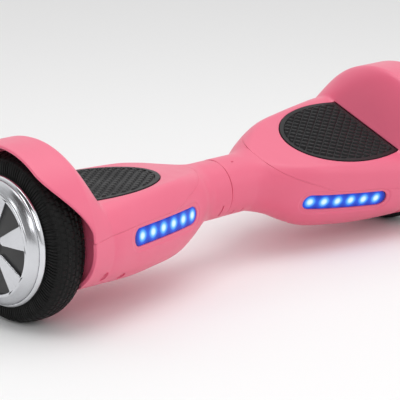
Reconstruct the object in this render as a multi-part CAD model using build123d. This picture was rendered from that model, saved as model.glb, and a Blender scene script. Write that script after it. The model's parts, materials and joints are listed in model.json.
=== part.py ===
from build123d import *

import math
import os

# Self balancing hoverboard: two tilting halves on a hollow pivot shaft, one hub motor wheel on each.
#
# Millimetres, +Z up, -Y is the side with the lights, +X along the axle.  The origin is on the floor
# under the middle of the axle.  Every half is designed in its own frame first: x runs outwards from the
# middle, z = 0 is the axle.  The left half is the mirror image of that, and the right half is turned
# about the axle by TWIST_REST, the pose in which the two halves rest against each other.

os.makedirs("parts", exist_ok=True)

# ---------------------------------------------------------------- driving dimensions
TYRE_R = 83.0               # a 6.5 inch wheel
AXLE_Z = TYRE_R
TWIST_REST = 23.0           # pitch of the right half, top towards the lights
TWIST_EACH_WAY = 25.0       # the pivot pin stops the halves this far from level with each other
WALL = 3.0                  # moulded covers
RUN = 0.05                  # radial running clearance
GAP = 0.4                   # between pieces of different bodies

SEAM_X = 7.0                # the seam between the halves lies this far left of the middle
SEAM_GAP = 0.8
NECK_R = 30.6
NECK_Z = -1.0               # centre of the neck's skin

PAD_BASE_X = 222.0          # straight edge of the foot pad, where the fender wall starts
CREST_X = 252.0             # crest of the fender wall
FENDER_R = 94.6
FENDER_X = 294.0
FENDER_LOW_DEG = 5.0        # the fender's edge sweeps from the crest at this angle above level ...
FENDER_HIGH_DEG = 55.0      # ... to its full width at this one
WELL_X = 243.0              # inner face of the wall between the pod and the wheel well
PARTING_Z = 10.0            # height of the seam between the upper and lower covers

# Sections of a pod from the neck outwards, each with its distance from the middle, half width, top,
# bottom, half width of the flat top, half width of the flat bottom, and height of the widest line.
NECK = (NECK_R, NECK_Z + NECK_R, NECK_Z - NECK_R, 2.0, 2.0, NECK_Z)
STATIONS = [
    (-24.0,) + NECK,
    (12.0,) + NECK,
    (30.0,) + NECK,
    (43.0, 34.5, 30.0, -32.0, 6.0, 6.0, -1.5),
    (60.0, 45.0, 31.5, -34.0, 20.0, 13.0, -3.0),
    (77.0, 53.0, 33.5, -39.5, 33.0, 23.0, -4.0),
    (100.0, 61.0, 35.0, -46.0, 44.0, 33.0, -5.0),
    (143.0, 71.5, 35.0, -50.0, 52.0, 39.0, -5.0),
    (178.0, 78.5, 35.0, -52.0, 57.0, 40.0, -5.0),
    (PAD_BASE_X, 86.0, 35.0, -52.0, 60.0, 34.0, -5.0),
]
CREST = (CREST_X, FENDER_R - 0.6, FENDER_R, -52.0, 2.0, 28.0, 0.0)
POD_STEPS = 16              # sections between the neck and the pad's straight edge
WALL_STEPS = 8              # sections between the pad and the crest
OVERRUN = 4.0               # the hollow runs this far past both ends of the skin
WHEEL_ROOM_R = 88.0         # nothing of the covers is nearer the axle beside the wheel

# foot pad
PAD_TIP_X = 96.3
PAD_TOP = 35.8
PAD_TRAVEL = 1.5
PAD_FIELD = 1.2             # the tread field stands this far above the pad's rim
PAD_BORDER = 7.0

# light strip
LENS_X = 136.0
LENS_Z = -3.2
LENS_LENGTH = 109.0
LENS_HEIGHT = 19.0
LENS_RECESS = 2.0
LED_PITCH = 17.75

# wheel
TYRE_IN_X = 251.0
TYRE_OUT_X = 288.4
TYRE_SEAT_R = 60.5
LIP_R = 65.5
LIP_X = 290.4
HUB_X = 303.3               # outermost face of the hub cover
HUB_RING_R = 50.0
SPOKES = 6
SPOKE_HALF_DEG = 14.0
SPOKE_TIP_R = 19.0
SPOKE_PHASE = 16.0          # of the first spoke above level, towards the lights
AXLE_R = 9.0
TEETH = 27
MAGNETS = 30

# pivot
SHAFT_R = 12.0
SHAFT_BORE_R = 8.0
BUSH_R = 14.0
BOSS_R = 21.0

# rear fittings, on the left half
PORT_X = 120.0
PORT_Z = -20.0
PORT_BORE_R = 6.0
PORT_SEAT_Y = 51.5          # the plug stops here, and the pins end just short of it
BUTTON_X = 160.0
BUTTON_Z = -18.0
BUTTON_R = 8.0
BUTTON_TRAVEL = 1.5

COVER_SCREWS = [(88.0, 36.0), (196.0, 64.5), (227.0, 75.0)]


# ---------------------------------------------------------------- helpers
def box(x0, x1, y0, y1, z0, z1):
    """A box from its two corners."""
    centre = Pos((x0 + x1) / 2, (y0 + y1) / 2, (z0 + z1) / 2)
    return centre * Box(x1 - x0, y1 - y0, z1 - z0)


def rod_x(radius, x0, x1, y=0.0, z=0.0):
    """A cylinder along X."""
    return Pos((x0 + x1) / 2, y, z) * Rot(0, 90, 0) * Cylinder(radius, x1 - x0)


def rod_y(radius, y0, y1, x=0.0, z=0.0):
    """A cylinder along Y."""
    return Pos(x, (y0 + y1) / 2, z) * Rot(90, 0, 0) * Cylinder(radius, y1 - y0)


def rod_z(radius, z0, z1, x=0.0, y=0.0):
    """A cylinder along Z."""
    return Pos(x, y, (z0 + z1) / 2) * Cylinder(radius, z1 - z0)


def turned(points):
    """A body of revolution about the axle, from (x, radius) points."""
    outline = Polyline([(x, 0, r) for x, r in points], close=True)
    return revolve(make_face(outline), axis=Axis.X)


def ring_x(outer, inner, x0, x1):
    """A ring about the axle."""
    return turned([(x0, inner), (x1, inner), (x1, outer), (x0, outer)])


def around_x(shape, count, phase=0.0):
    """Copies of a shape evenly spaced about the axle."""
    step = 360.0 / count
    return [Rot(phase + step * i, 0, 0) * shape for i in range(count)]


def group(shapes):
    """Several separate solids in one node."""
    solids = [solid for shape in shapes for solid in shape.solids()]
    return Compound(children=solids)


def prism_y(points, y0=-120.0, y1=120.0):
    """A polygon in the XZ plane, extruded along Y."""
    outline = Polyline([(x, y0, z) for x, z in points], close=True)
    return extrude(make_face(outline), amount=y1 - y0, dir=(0, 1, 0))


def on_side(shape, side):
    """Moves a shape from the half's own frame to its place on the machine."""
    if side == "left":
        return Pos(0, 0, AXLE_Z) * mirror(shape, about=Plane.YZ)
    return Pos(0, 0, AXLE_Z) * Rot(TWIST_REST, 0, 0) * shape


def save(name, shape):
    """Writes one node."""
    solids = shape.solids()
    export_step(solids[0] if len(solids) == 1 else Compound(children=list(solids)), f"parts/{name}.step")


# ---------------------------------------------------------------- the pod's skin
def section(x, width, top, bottom, flat_top, flat_bottom, middle, inset):
    """The pod's outline across X: flat top and bottom, joined by quarter ellipses."""
    width -= inset
    top -= inset
    bottom += inset
    upper = dict(x_radius=width - flat_top, y_radius=top - middle)
    lower = dict(x_radius=width - flat_bottom, y_radius=middle - bottom)
    edges = [
        Line((-flat_top, top), (flat_top, top)),
        EllipticalCenterArc((flat_top, middle), **upper, start_angle=0),
        EllipticalCenterArc((flat_bottom, middle), **lower, start_angle=270),
        Line((flat_bottom, bottom), (-flat_bottom, bottom)),
        EllipticalCenterArc((-flat_bottom, middle), **lower, start_angle=180),
        EllipticalCenterArc((-flat_top, middle), **upper, start_angle=90),
    ]
    across = Plane(origin=(x, 0, 0), x_dir=(0, 1, 0), z_dir=(1, 0, 0))
    return across * make_face(edges)


def wall_rise(s):
    """How far the fender wall has risen, from 0 at the pad to 1 at the crest."""
    smooth = s * s * (3 - 2 * s)
    return 0.5 * (smooth + math.sin(s * math.pi / 2))


def wall_sections(inset):
    """Sections from the pad's straight edge up to the crest."""
    start = STATIONS[-1]
    found = []
    for i in range(WALL_STEPS + 1):
        s = i / WALL_STEPS
        rise = wall_rise(s)
        share = [s, s, rise, s, rise, s, s]
        row = [a + (b - a) * part for a, b, part in zip(start, CREST, share)]
        found.append(section(*row, inset))
    return found


def slope(rows, i, column):
    """Slope of one column of the stations at a row, from its neighbours."""
    if i == 0 or i == len(rows) - 1:
        return 0.0
    before = (rows[i][column] - rows[i - 1][column]) / (rows[i][0] - rows[i - 1][0])
    after = (rows[i + 1][column] - rows[i][column]) / (rows[i + 1][0] - rows[i][0])
    return (before + after) / 2 if before * after > 0 else 0.0


def skin_row(x):
    """The section's numbers at any distance from the middle, smooth between the stations."""
    rows = STATIONS
    i = max(k for k in range(len(rows) - 1) if rows[k][0] <= x or k == 0)
    span = rows[i + 1][0] - rows[i][0]
    s = (x - rows[i][0]) / span
    weights = (
        2 * s**3 - 3 * s**2 + 1,
        (s**3 - 2 * s**2 + s) * span,
        3 * s**2 - 2 * s**3,
        (s**3 - s**2) * span,
    )
    found = [x]
    for column in range(1, len(rows[0])):
        values = (rows[i][column], slope(rows, i, column), rows[i + 1][column], slope(rows, i + 1, column))
        found.append(sum(w * v for w, v in zip(weights, values)))
    return found


def pod(inset):
    """The pod as a solid, its skin moved inwards by inset."""
    over = OVERRUN if inset else 0.0
    neck_end = STATIONS[2][0]
    step = (PAD_BASE_X - neck_end) / POD_STEPS
    rows = [[STATIONS[0][0] - over, *NECK]] + [skin_row(neck_end + step * i) for i in range(POD_STEPS + 1)]
    body = loft([section(*row, inset) for row in rows], ruled=True)
    rising = wall_sections(inset)
    if over:
        rising.append(section(CREST_X + over, *CREST[1:], inset))
    return body + loft(rising, ruled=True)


def parting_zone(x_tip, lift=0.0):
    """Everything above the seam between the covers."""
    seam = [
        (x_tip, NECK_Z + NECK_R + 2.0),
        (60.0, 26.0 + lift),
        (83.0, 20.5 + lift),
        (96.0, 17.5 + lift),
        (107.0, 14.0 + lift),
        (124.0, PARTING_Z + 0.5 + lift),
        (174.0, PARTING_Z + lift),
        (215.0, PARTING_Z - 1.5 + lift),
        (CREST_X + 50, PARTING_Z - 3.0 + lift),
    ]
    points = [(x, -130, z) for x, z in seam]
    curve = Spline(points)
    close = Polyline([points[-1], (CREST_X + 50, -130, 130), (x_tip, -130, 130), points[0]])
    return extrude(make_face([curve, close]), amount=260, dir=(0, 1, 0))


def fender():
    """The arch over the wheel, its outer edge swept forward from the crest."""
    length = FENDER_X - CREST_X
    ring = extrude(section(CREST_X, *CREST[1:], 0.0), amount=length, dir=(1, 0, 0))
    ring -= extrude(section(CREST_X - 1, *CREST[1:], WALL), amount=length + 2, dir=(1, 0, 0))
    steps = 10
    edge = []
    for i in range(steps + 1):
        s = i / steps
        angle = math.radians(FENDER_LOW_DEG + (FENDER_HIGH_DEG - FENDER_LOW_DEG) * s)
        out = CREST_X + (FENDER_X + 1.0 - CREST_X) * s * s * (3 - 2 * s)
        edge.append((out, -130, FENDER_R * math.sin(angle)))
    low = edge[0][2]
    inner = CREST_X - 8.0
    corners = [(FENDER_X + 1.0, -130, 130), (inner, -130, 130), (inner, -130, low)]
    close = Polyline([edge[-1]] + corners + [edge[0]])
    keep = extrude(make_face([Spline(edge), close]), amount=260, dir=(0, 1, 0))
    return ring & keep


def neck_slots(side):
    """The two catches in the neck's underside, and the index mark on top of the right one."""
    far = 45.0
    a0 = math.radians(200.0)
    a1 = math.radians(232.0)
    wedge = [(0, 0), (far * math.cos(a0), far * math.sin(a0)), (far * math.cos(a1), far * math.sin(a1))]
    cuts = []
    for x in ([17.0] if side == "left" else [3.0, 17.0]):
        outline = Polyline([(x, y, z) for y, z in wedge], close=True)
        cuts.append(extrude(make_face(outline), amount=2.4, dir=(1, 0, 0)))
    if side == "right":
        cuts.append(box(9.5, 14.0, -0.7, 0.7, 20.0, 40.0))
    return cuts


def lens_outline(grow):
    """The stadium of the light strip, through the front of the pod."""
    half = LENS_LENGTH / 2 - LENS_HEIGHT / 2
    radius = LENS_HEIGHT / 2 + grow
    y0, y1 = -110, -46
    bar = box(LENS_X - half, LENS_X + half, y0, y1, LENS_Z - radius, LENS_Z + radius)
    ends = [rod_y(radius, y0, y1, LENS_X + s * half, LENS_Z) for s in (-1, 1)]
    return bar + ends[0] + ends[1]


def pad_rim(t, span):
    """A point of the foot pad's outline: the tip at t = 0, the straight edge's corners at t = -1 and 1."""
    u = span * t * t / 100
    half_width = math.copysign(86.2 * abs(t) * math.sqrt(span / 100) - 12.4 * u - 18.7 * u * u, t)
    return Vector(PAD_TIP_X + 100 * u, half_width)


def pad_outline(grow, z0, z1):
    """A D-shaped plate with the foot pad's outline, grown by an even margin."""
    steps = 9
    span = PAD_BASE_X + grow - PAD_TIP_X
    small = 0.001
    curve = []
    for i in range(-steps, steps + 1):
        t = i / steps
        along = (pad_rim(t + small, span) - pad_rim(t - small, span)).normalized()
        point = pad_rim(t, span) + Vector(-along.Y, along.X) * grow * (0 if abs(i) == steps else 1)
        if abs(i) == steps:
            point += Vector(0, math.copysign(1, i) * grow)
        curve.append((point.X, point.Y, z0))
    face = make_face([Spline(curve), Line(curve[-1], curve[0])])
    return extrude(face, amount=z1 - z0, dir=(0, 0, 1))


# ---------------------------------------------------------------- covers
def screw_spots():
    return [(x, s * y) for x, y in COVER_SCREWS for s in (-1, 1)]


def covers(side, skin, hollow):
    """The upper and lower covers of one half."""
    start = SEAM_X + SEAM_GAP / 2 if side == "left" else -SEAM_X + SEAM_GAP / 2
    far = 200.0
    slab = box(WELL_X, WELL_X + WALL, -far, far, -far, far)
    shell = skin - (hollow - slab)
    shell -= box(-60, start, -far, far, -far, far)
    shell -= rod_x(AXLE_R + 4.0, WELL_X - 1, WELL_X + WALL + 1)
    shell -= rod_x(WHEEL_ROOM_R, WELL_X + WALL, CREST_X + 10)

    zone = parting_zone(40.0)
    upper = (shell & zone) + fender()
    lower = shell - zone
    for x, y in screw_spots():
        upper += rod_z(5.0, 2.0, 40.0, x, y) & skin & zone
        lower += (rod_z(5.0, -60.0, 20.0, x, y) & skin) - zone
    for x, y in screw_spots():
        upper -= rod_z(1.6, -60, 18, x, y)
        lower -= rod_z(2.1, -60, 30, x, y)
        lower -= rod_z(4.2, -60, screw_seat(x), x, y)
    upper -= pad_outline(GAP, 30.0, 40.0)
    for cut in neck_slots(side):
        lower -= cut
    lower -= lens_outline(0.0)
    return upper, lower


def screw_seat(x):
    """Height of the shoulder under a cover screw's head."""
    return -24.0 if x > 100 else -30.0


def cover_screws():
    """Cross-head screws up through the lower cover into the bosses of the upper one."""
    screws = []
    for x, y in screw_spots():
        seat = screw_seat(x)
        head = rod_z(3.6, seat - 2.6, seat, x, y) - rod_z(1.3, seat - 2.7, seat - 1.2, x, y)
        screws.append(head + rod_z(1.55, seat - 0.1, 16.0, x, y))
    return group(screws)


def light_lens(skin_out, skin_in):
    """The blue window, sunk a little into the front of the pod."""
    return (skin_out - skin_in) & (lens_outline(-0.25))


def light_board():
    """A strip of six lamps behind the window, turned to follow the pod's front."""
    strip = box(-52, 52, 0, 1.6, -6, 6)
    for i in range(6):
        x = (i - 2.5) * LED_PITCH
        strip += box(x - 2.5, x + 2.5, -1.6, 0, -2.5, 2.5)
    strip += box(34, 42, 1.6, 6.0, -3, 3)
    return Pos(LENS_X - 2, -58.5, LENS_Z) * Rot(0, 0, -12.6) * strip


# ---------------------------------------------------------------- foot pad
def foot_pad():
    """The rubber mat, with a raised tread field inside a smooth border."""
    mat = pad_outline(0.0, 31.2, PAD_TOP)
    return mat + pad_outline(-PAD_BORDER, PAD_TOP - 0.5, PAD_TOP + PAD_FIELD)


def pad_plate():
    """The rigid plate under the mat, with a flange below the cover and feet over the switches."""
    plate = pad_outline(-GAP, 27.5, 31.2)
    for x in (140.0, 190.0):
        for y in (-26.0, 26.0):
            plate += rod_z(4.0, 21.0, 28.0, x, y)
    for y in (-14.0, 14.0):
        plate += box(112.0, 214.0, y - 1.0, y + 1.0, 24.5, 28.0)
    return plate


def sensor_board():
    """The board under the pad, with an optical switch below each foot and the tilt sensor."""
    board = box(124, 206, -34, 34, 16.0, 17.6)
    for x in (140.0, 190.0):
        for y in (-26.0, 26.0):
            board += box(x - 4, x + 4, y - 4, y + 4, 17.6, 19.2)
    board += box(160, 168, -4, 4, 17.6, 18.8)
    board += box(126, 132, -10, 10, 17.6, 22.0)
    for x in (130.0, 200.0):
        for y in (-30.0, 30.0):
            board -= rod_z(1.6, 15, 19, x, y)
    return board


# ---------------------------------------------------------------- frame and pivot
def frame(side):
    """The cast aluminium frame: pivot boss, spine, deck and axle block."""
    boss_start = 10.0 if side == "left" else -6.0
    boss = rod_x(BOSS_R, boss_start, 66.0)
    deck = extrude(
        make_face(Polyline([(54, -27, 4), (98, -29, 4), (112, -38, 4), (238, -42, 4),
                            (238, 42, 4), (112, 38, 4), (98, 29, 4), (54, 27, 4)], close=True)),
        amount=4.0, dir=(0, 0, 1))
    spine = box(50, 92, 19.5, 24.5, -12, 5) + box(50, 92, -24.5, -19.5, -12, 5)
    rails = box(108, 204, 33, 36, 7, 13) + box(108, 204, -36, -33, 7, 13)
    block = box(204, 238, -25, 25, 0, 5)
    body = boss + deck + spine + rails + block
    bore = SHAFT_R if side == "left" else BUSH_R
    body -= rod_x(bore, boss_start - 1, 67)
    body -= rod_x(19.0, 66, 73)
    body -= rod_x(AXLE_R, 196, 240)
    for x in (130.0, 200.0):
        for y in (-30.0, 30.0):
            body += rod_z(3.2, 7.0, 16.0, x, y)
            body += rod_z(1.55, 16.0, 17.2, x, y)
    for x, y in clamp_spots():
        body -= rod_z(2.6, -1, 9, x, y)
    if side == "right":
        body -= pivot_slot()
    else:
        for x, y in board_spots():
            body += rod_z(3.0, -10.0, 5.0, x, y) + rod_z(1.6, -11.4, -9.9, x, y)
    return body


def clamp_spots():
    return [(x, y) for x in (211.0, 231.0) for y in (-17.0, 17.0)]


def axle_clamp():
    """The lower half of the axle's clamp."""
    clamp = box(206, 236, -23, 23, -15, -0.4) - rod_x(AXLE_R, 200, 240)
    for x, y in clamp_spots():
        clamp -= rod_z(2.6, -16, 1, x, y)
    return clamp


def clamp_bolts():
    """Four socket head bolts that hold the axle."""
    bolts = []
    for x, y in clamp_spots():
        socket = extrude(Pos(x, y, -20.1) * RegularPolygon(2.2, 6), amount=2.6)
        bolts.append(rod_z(4.2, -20, -15, x, y) + rod_z(2.5, -15.1, 7.5, x, y) - socket)
    return group(bolts)


def pivot_slot():
    """The window in the right boss in which the stop pin swings."""
    half = TWIST_EACH_WAY + 12.5
    far = 40.0
    s = far * math.sin(math.radians(half))
    c = far * math.cos(math.radians(half))
    outline = Polyline([(27.0, 0, 0), (27.0, -s, c), (27.0, s, c)], close=True)
    return extrude(make_face(outline), amount=7.0, dir=(1, 0, 0))


def pivot_shaft():
    """The hollow shaft, pressed into the left frame and carrying the right one."""
    shaft = rod_x(SHAFT_R, -64.0, 70.5) - rod_x(SHAFT_BORE_R, -65, 71)
    shaft -= ring_x(SHAFT_R + 1, SHAFT_R - 1, 67.6, 68.9)
    shaft -= rod_z(2.5, 5.0, 20.0, 30.5, 0)
    return shaft


def stop_pin():
    """The pin that limits the twist of the halves."""
    return rod_z(2.5, 8.2, 19.5, 30.5, 0)


def pivot_bushes():
    """Two plain bushes in the right frame."""
    return group([ring_x(BUSH_R, SHAFT_R + RUN, x0, x0 + 20.0) for x0 in (-6.0, 46.0)])


def thrust_washers():
    """Nylon washers at both ends of the right frame's boss."""
    return group([
        ring_x(18.0, SHAFT_R, -9.9, -6.1),
        ring_x(18.0, SHAFT_R, 66.1, 67.5),
    ])


def circlip():
    """The open spring ring that keeps the right frame on the shaft."""
    ring = ring_x(SHAFT_R + 3.5, SHAFT_R - 1, 67.6, 68.8)
    return ring - box(66, 70, -4, 4, -20, 0)


def neck_seal():
    """The dust ring that closes the seam between the two necks."""
    ring = ring_x(26.2, BOSS_R + 0.8, -15.0, 4.0)
    return ring + ring_x(26.2, BOSS_R, -15.0, -11.0)


# ---------------------------------------------------------------- wheel
def tyre():
    """The solid tyre with rounded shoulders."""
    r = TYRE_R
    a = TYRE_IN_X
    b = TYRE_OUT_X
    side = [(0.0, 19.0), (0.0, 8.5), (1.0, 5.5), (3.2, 2.9), (7.0, 1.1), (12.0, 0.2)]
    left = [(a + dx, r - dr) for dx, dr in side]
    right = [(b - dx, r - dr) for dx, dr in reversed(side)]
    return turned([(a, TYRE_SEAT_R)] + left[1:] + [((a + b) / 2, r)] + right[:-1] + [(b, TYRE_SEAT_R)])


def rotor_rim():
    """The rim: tyre seat, both lips and the outer end wall with its bearing seat."""
    return turned([
        (249.0, 57.0), (249.0, 65.0), (250.9, 65.0), (250.9, TYRE_SEAT_R), (288.5, TYRE_SEAT_R),
        (288.5, LIP_R), (LIP_X, LIP_R), (292.6, 64.9), (294.4, 63.6), (295.0, 62.2), (295.0, 13.0),
        (285.0, 13.0), (285.0, 18.0), (291.0, 19.0), (291.0, 54.0), (288.0, 57.0),
    ])


def magnets():
    """The rotor's magnets, glued inside the rim."""
    bar = box(264, 284, -4.6, 4.6, 53.6, 56.4)
    return group(around_x(bar, MAGNETS))


def stator():
    """The laminated stator on the axle."""
    core = ring_x(34.0, 11.0, 264.0, 284.0)
    tooth = box(264.0, 284.0, -2.0, 2.0, 33.0, 50.8)
    tip = box(264.0, 284.0, -4.4, 4.4, 50.8, 52.4)
    for piece in around_x(tooth, TEETH) + around_x(tip, TEETH):
        core += piece
    return core


def windings():
    """One copper coil on each tooth."""
    coil = box(261.5, 286.5, -3.5, 3.5, 37.0, 49.5) - box(263.9, 284.1, -2.1, 2.1, 36.0, 50.0)
    return group(around_x(coil, TEETH))


def axle():
    """The fixed axle: clamped end, bearing seats and stator seat, bored for the cable."""
    body = turned([
        (198.0, 3.6), (198.0, AXLE_R), (251.5, AXLE_R), (251.5, 8.5), (262.0, 8.5), (262.0, 11.0),
        (284.5, 11.0), (284.5, 6.0), (294.0, 6.0), (294.0, 0.0), (258.0, 0.0), (258.0, 3.6),
    ])
    return body


def wheel_bearings():
    """The inner and outer ball bearings, each drawn as one ring with its shield groove."""
    inner = ring_x(15.0, 8.5 + RUN, 252.0, 260.0) - ring_x(13.0, 10.5, 251.0, 252.6)
    outer = ring_x(13.0, 6.0 + RUN, 285.0, 293.0) - ring_x(11.0, 8.5, 292.4, 294.0)
    return group([inner, outer])


def motor_cover():
    """The inboard end cover of the hub motor."""
    cover = turned([
        (249.2, 15.0), (249.2, 56.9), (254.0, 56.9), (254.0, 21.0), (260.0, 20.0), (260.0, 15.0),
    ])
    cover -= ring_x(48.0, 26.0, 248.0, 250.2)
    return cover


def hub_insert():
    """The black dish behind the windows of the hub cover."""
    return turned([
        (295.2, 0.0), (295.2, 53.4), (298.6, 53.4), (300.2, 50.0), (300.6, 30.0), (300.6, 13.0),
        (301.6, 11.0), (301.6, 0.0),
    ])


def hub_cover():
    """The polished band, satin ring and tapering spokes."""
    band = turned([
        (295.2, 62.0), (297.6, 60.2), (300.2, 57.6), (302.2, 55.0), (303.0, 54.2), (HUB_X, 53.6),
        (HUB_X, HUB_RING_R), (300.8, HUB_RING_R), (300.8, 52.6), (299.8, 53.6), (295.2, 53.6),
    ])
    half = math.radians(SPOKE_HALF_DEG)
    root = HUB_RING_R + 1.0
    tip = SPOKE_TIP_R
    corners = []
    for r, s in ((root, 1), (tip, 1), (tip, -1), (root, -1)):
        corners.append((300.8, s * r * math.tan(half), r))
    blade = extrude(make_face(Polyline(corners, close=True)), amount=HUB_X - 300.8, dir=(1, 0, 0))
    blade += rod_x(tip * math.tan(half), 300.8, HUB_X, 0, tip)
    for spoke in around_x(blade, SPOKES, 90.0 - SPOKE_PHASE):
        band += spoke
    return band


def motor_cable():
    """The lead that runs through the bored axle to the control board."""
    return rod_x(3.2, 171.0, 256.0) + box(160.0, 172.0, -7, 7, -4.0, 3.9)


# ---------------------------------------------------------------- electronics
def main_board():
    """The control board under the left deck."""
    board = box(104, 196, -34, 34, -11.6, -10.0)
    board += box(110, 128, -30, -12, -22.0, -11.6)
    for x in (112.0, 124.0):
        board += rod_z(5.0, -30.0, -11.6, x, 22.0)
    board += box(140, 158, -8, 8, -14.0, -11.6)
    board += box(150, 176, 24, 32, -18.0, -11.6)
    for x, y in board_spots():
        board -= rod_z(1.7, -13, -9, x, y)
    return board


def board_spots():
    return [(x, y) for x in (108.0, 192.0) for y in (-30.0, 30.0)]


def heat_sink():
    """The finned bar that cools the drive transistors."""
    bar = box(162, 196, -30, 4, -14.6, -11.6)
    for i in range(7):
        x = 163.0 + i * 5.2
        bar += box(x, x + 1.6, -30, 4, -26.0, -14.0)
    return bar


def battery_pack():
    """The lithium pack under the right deck, with a rounded sleeve."""
    pack = box(101, 196, -35, 35, -38.0, -5.0)
    return fillet(pack.edges().filter_by(Axis.X), 8.0)


def battery_strap():
    """The steel strap that carries the pack."""
    strap = box(138, 166, -39, 39, -40.0, -38.2)
    strap += box(138, 166, 37.2, 39, -40.0, 4.0) + box(138, 166, -39, -37.2, -40.0, 4.0)
    strap += box(138, 166, 34.0, 39, 2.2, 4.0) + box(138, 166, -39, -34.0, 2.2, 4.0)
    return strap


def link_cable():
    """The lead that passes through the pivot shaft from one half to the other."""
    return rod_x(3.4, -93.0, 90.0) + box(-102, -92, -7, 7, -4, 3.9)


# ---------------------------------------------------------------- rear fittings of the left half
def port_recess(skin):
    """The flat-bottomed pocket behind the charging port."""
    floor = 57.0
    boss = rod_y(20.0, floor - WALL, 90.0, PORT_X, PORT_Z) & skin
    cut = rod_y(17.0, floor, 100.0, PORT_X, PORT_Z) + rod_y(8.2, 40.0, floor + 1, PORT_X, PORT_Z)
    return boss, cut


def button_recess(skin):
    """The flat-bottomed pocket around the power button."""
    floor = 66.0
    boss = rod_y(14.5, floor - WALL, 90.0, BUTTON_X, BUTTON_Z) & skin
    cut = rod_y(11.5, floor, 100.0, BUTTON_X, BUTTON_Z)
    cut += rod_y(BUTTON_R + 2.1, 50.0, floor + 1, BUTTON_X, BUTTON_Z)
    return boss, cut


def charge_socket():
    """The three-pin charging socket, with ears for the cap."""
    body = rod_y(8.0, 44.0, 58.0, PORT_X, PORT_Z) + rod_y(10.5, 57.0, 58.6, PORT_X, PORT_Z)
    body -= rod_y(PORT_BORE_R, PORT_SEAT_Y, 59.0, PORT_X, PORT_Z)
    body -= rod_y(PORT_BORE_R - 0.5, 46.5, PORT_SEAT_Y + 1, PORT_X, PORT_Z)
    for i in range(3):
        angle = math.radians(90 + 120 * i)
        x = PORT_X + 2.8 * math.cos(angle)
        z = PORT_Z + 2.8 * math.sin(angle)
        body += rod_y(0.9, 46.0, PORT_SEAT_Y - 0.3, x, z)
    hinge_z = PORT_Z + 11.6
    for x0 in (PORT_X - 8.0, PORT_X + 5.6):
        body += box(x0, x0 + 2.4, 57.0, 61.6, PORT_Z + 9.0, hinge_z + 1.8)
        body += box(x0, x0 + 2.4, 57.0, 58.6, PORT_Z + 4.0, PORT_Z + 9.5)
    return body + rod_x(0.8, PORT_X - 7.5, PORT_X + 7.5, 60.0, hinge_z)


def charge_cap():
    """The round rubber cap that closes the charging port."""
    hinge_z = PORT_Z + 11.6
    cap = rod_y(9.6, 59.0, 61.4, PORT_X, PORT_Z)
    cap += box(PORT_X - 4.6, PORT_X + 4.6, 59.4, 61.4, PORT_Z + 5.0, hinge_z - 0.4)
    cap += rod_x(1.7, PORT_X - 4.6, PORT_X + 4.6, 60.0, hinge_z)
    cap -= rod_x(0.8 + RUN, PORT_X - 10, PORT_X + 10, 60.0, hinge_z)
    cap += box(PORT_X - 3, PORT_X + 3, 59.4, 61.4, PORT_Z - 11.6, PORT_Z - 8.0)
    return cap


def power_switch():
    """The switch with the ring around its button."""
    ring = ring_y(11.3, BUTTON_R + 0.35, 66.0, 69.6)
    tube = ring_y(BUTTON_R + 2.0, BUTTON_R + 0.35, 58.0, 66.5)
    block = box(BUTTON_X - 8, BUTTON_X + 8, 46.0, 58.6, BUTTON_Z - 8, BUTTON_Z + 8)
    return ring + tube + block


def ring_y(outer, inner, y0, y1):
    return rod_y(outer, y0, y1, BUTTON_X, BUTTON_Z) - rod_y(inner, y0 - 1, y1 + 1, BUTTON_X, BUTTON_Z)


def power_button():
    """The round push button."""
    cap = rod_y(BUTTON_R, 64.0, 71.0, BUTTON_X, BUTTON_Z)
    cap += rod_y(2.5, 60.6, 64.0, BUTTON_X, BUTTON_Z)
    return fillet(cap.edges().group_by(Axis.Y)[-1], 0.8)


# ---------------------------------------------------------------- write every node
def write_half(side, skin, hollow, lens_out, lens_in):
    upper, lower = covers(side, skin, hollow)
    if side == "left":
        for boss, cut in (port_recess(skin), button_recess(skin)):
            lower = lower + boss - cut
    nodes = {
        "upper_cover": upper,
        "lower_cover": lower,
        "light_lens": light_lens(lens_out, lens_in),
        "light_board": light_board(),
        "foot_pad": foot_pad(),
        "pad_plate": pad_plate(),
        "sensor_board": sensor_board(),
        "cover_screws": cover_screws(),
        "frame": frame(side),
        "axle_clamp": axle_clamp(),
        "clamp_bolts": clamp_bolts(),
        "axle": axle(),
        "stator": stator(),
        "windings": windings(),
        "motor_cable": motor_cable(),
        "rotor_rim": rotor_rim(),
        "magnets": magnets(),
        "wheel_bearings": wheel_bearings(),
        "motor_cover": motor_cover(),
        "hub_insert": hub_insert(),
        "hub_cover": hub_cover(),
        "tyre": tyre(),
    }
    for name, shape in nodes.items():
        save(f"{side}_{name}", on_side(shape, side))


SKIN = pod(0.0)
HOLLOW = pod(WALL)
LENS_OUT = pod(LENS_RECESS)
LENS_IN = pod(LENS_RECESS + 2.5)
for half_name in ("left", "right"):
    write_half(half_name, SKIN, HOLLOW, LENS_OUT, LENS_IN)

for node, shape in {
    "pivot_shaft": pivot_shaft(),
    "stop_pin": stop_pin(),
    "thrust_washers": thrust_washers(),
    "circlip": circlip(),
    "neck_seal": neck_seal(),
    "link_cable": link_cable(),
}.items():
    save(node, Pos(0, 0, AXLE_Z) * shape)
save("pivot_bushes", on_side(pivot_bushes(), "right"))
save("battery_pack", on_side(battery_pack(), "right"))
save("battery_strap", on_side(battery_strap(), "right"))

for node, shape in {
    "main_board": main_board(),
    "heat_sink": heat_sink(),
    "charge_socket": charge_socket(),
    "charge_cap": charge_cap(),
    "power_button": power_button(),
    "power_switch": power_switch(),
}.items():
    save(node, on_side(shape, "left"))
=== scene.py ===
import json
import math

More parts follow.
